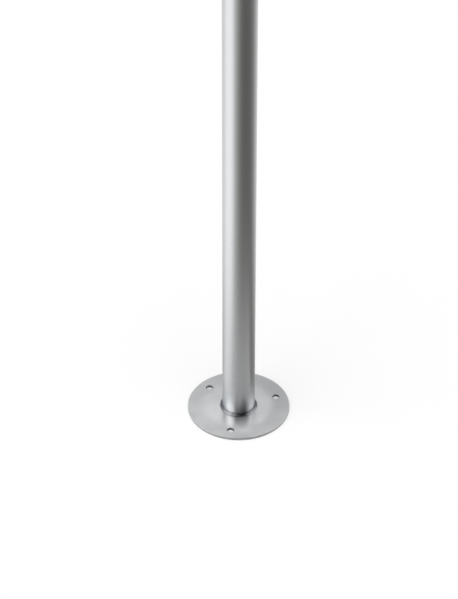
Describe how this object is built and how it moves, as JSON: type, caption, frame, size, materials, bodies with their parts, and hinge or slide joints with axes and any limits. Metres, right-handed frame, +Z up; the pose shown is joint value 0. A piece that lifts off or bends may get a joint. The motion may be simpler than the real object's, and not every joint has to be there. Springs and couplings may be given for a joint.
{
  "type": "flagpole",
  "caption": "Slim stainless steel flagpole: a plain round tube welded into a thin round floor flange with anchor holes, closed by a low domed cap.",
  "frame": {"origin": "centre of the flange's flat underside, where it rests on the ground", "axes": "+Z up along the pole's axis; +X and +Y lie in the underside, with the first anchor hole 18 degrees round from +X towards +Y"},
  "size_m": [0.16, 0.16, 2.4],
  "materials": {
    "flange": "fine brushed stainless steel",
    "tube": "satin polished stainless steel tube",
    "weld": "fillet weld in stainless steel, slightly rippled",
    "cap": "satin turned stainless steel"
  },
  "bodies": {
    "root": {"base_flange": "flange", "mast_tube": "tube", "foot_weld": "weld", "top_cap": "cap"}
  },
  "joints": []
}
